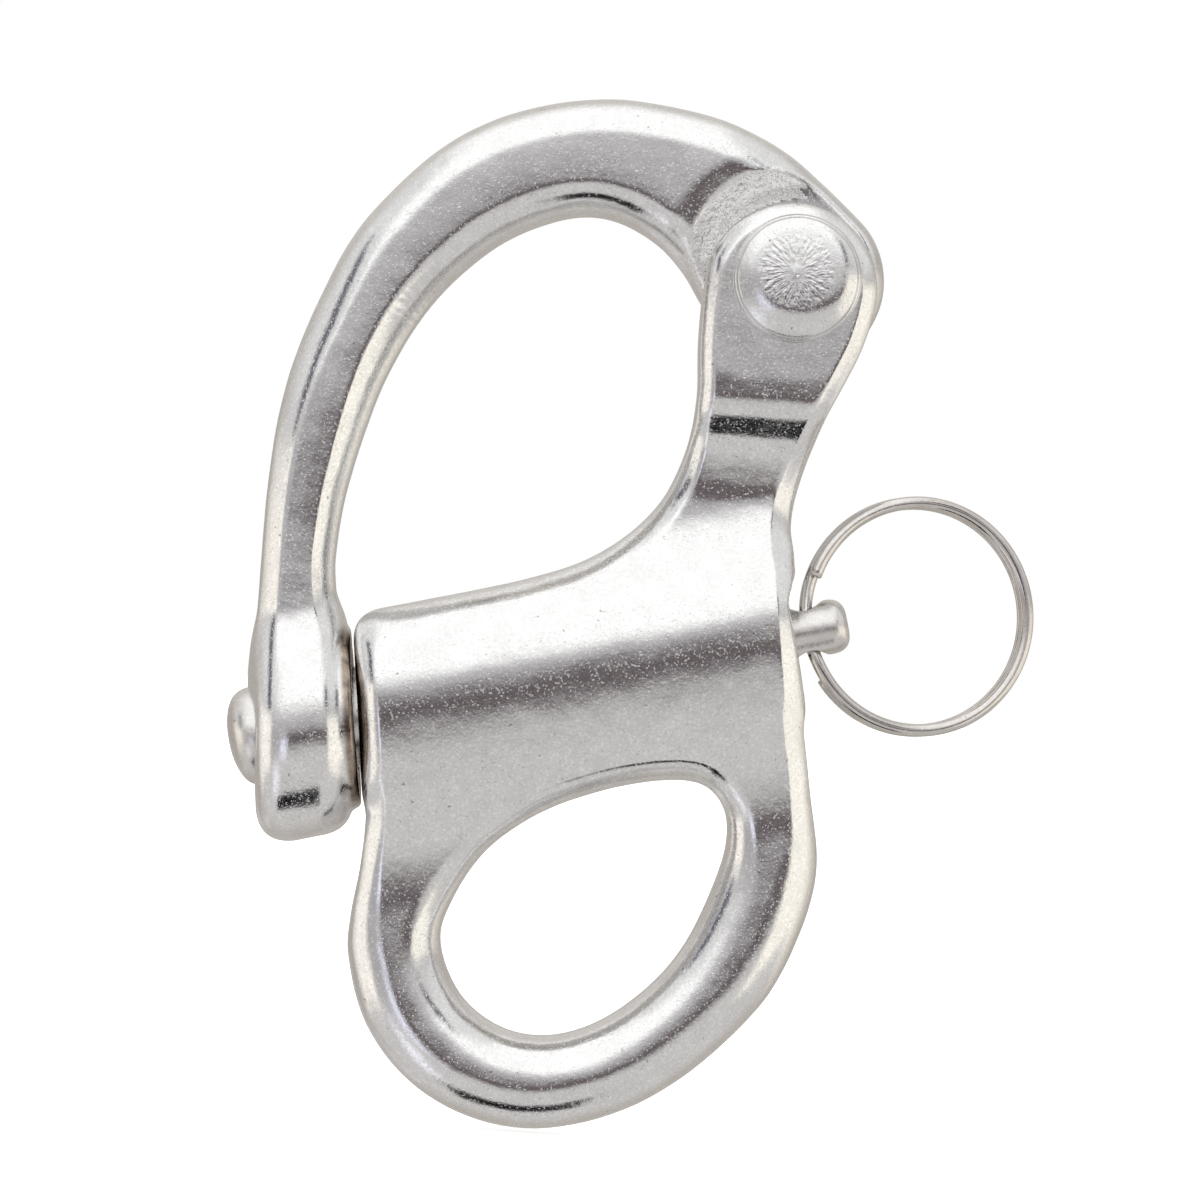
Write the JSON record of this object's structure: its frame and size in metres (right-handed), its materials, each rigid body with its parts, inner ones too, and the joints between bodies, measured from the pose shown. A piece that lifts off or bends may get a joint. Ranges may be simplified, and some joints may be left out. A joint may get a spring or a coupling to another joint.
{
  "type": "snap shackle",
  "caption": "Fixed-eye snap shackle in cast stainless steel: a hinged hook closes on a slanted barrel, and a spring-loaded plunger with a pull ring locks it.",
  "frame": {"origin": "centre of the inner bearing arc of the fixed eye, in the mid plane of the shackle", "axes": "+Z is the line of the load from the fixed eye to the bearing point of the hook, +X points to the side of the pull ring, and Y is across the thickness of the shackle"},
  "size_m": [0.0746, 0.0192, 0.0964],
  "materials": {
    "cast_body": "investment-cast AISI 316 stainless steel, tumbled and electropolished to a soft sheen with a fine cast grain",
    "cast_hook": "investment-cast AISI 316 stainless steel, tumbled and electropolished, rough where the tang is recessed",
    "rivet": "stainless rivet, its domed head wrinkled in fine radial creases where it was upset",
    "plunger": "turned and tumbled stainless steel",
    "spring_wire": "drawn stainless spring wire",
    "ring_wire": "drawn stainless spring wire with faint lengthwise drawing lines"
  },
  "bodies": {
    "shackle": {"body_casting": "cast_body", "hinge_rivet": "rivet"},
    "hook": {"hook_casting": "cast_hook"},
    "spring": {"plunger_spring": "spring_wire"},
    "plunger": {"locking_plunger": "plunger"},
    "ring": {"pull_ring": "ring_wire"}
  },
  "joints": [
    {"name": "hook_swing", "type": "hinge", "parent": "shackle", "child": "hook", "pos_m": [0.0188, 0, 0.063], "axis": [0, 1, 0], "range_deg": [0, 118]},
    {"name": "plunger_spin", "type": "hinge", "parent": "shackle", "child": "spring", "pos_m": [0, 0, 0.0246], "axis": [0.9659, 0, 0.2588], "continuous": true},
    {"name": "plunger_slide", "type": "slide", "parent": "spring", "child": "plunger", "axis": [0.9659, 0, 0.2588], "range_m": [0, 0.0115], "stiffness_N_per_m": 900, "springref_m": -0.009, "deforming": ["plunger_spring"]},
    {"name": "ring_swing", "type": "hinge", "parent": "plunger", "child": "ring", "pos_m": [0.02231, 0, 0.03058], "axis": [-0.1994, 0, 0.9799], "range_deg": [-64, 36]}
  ]
}
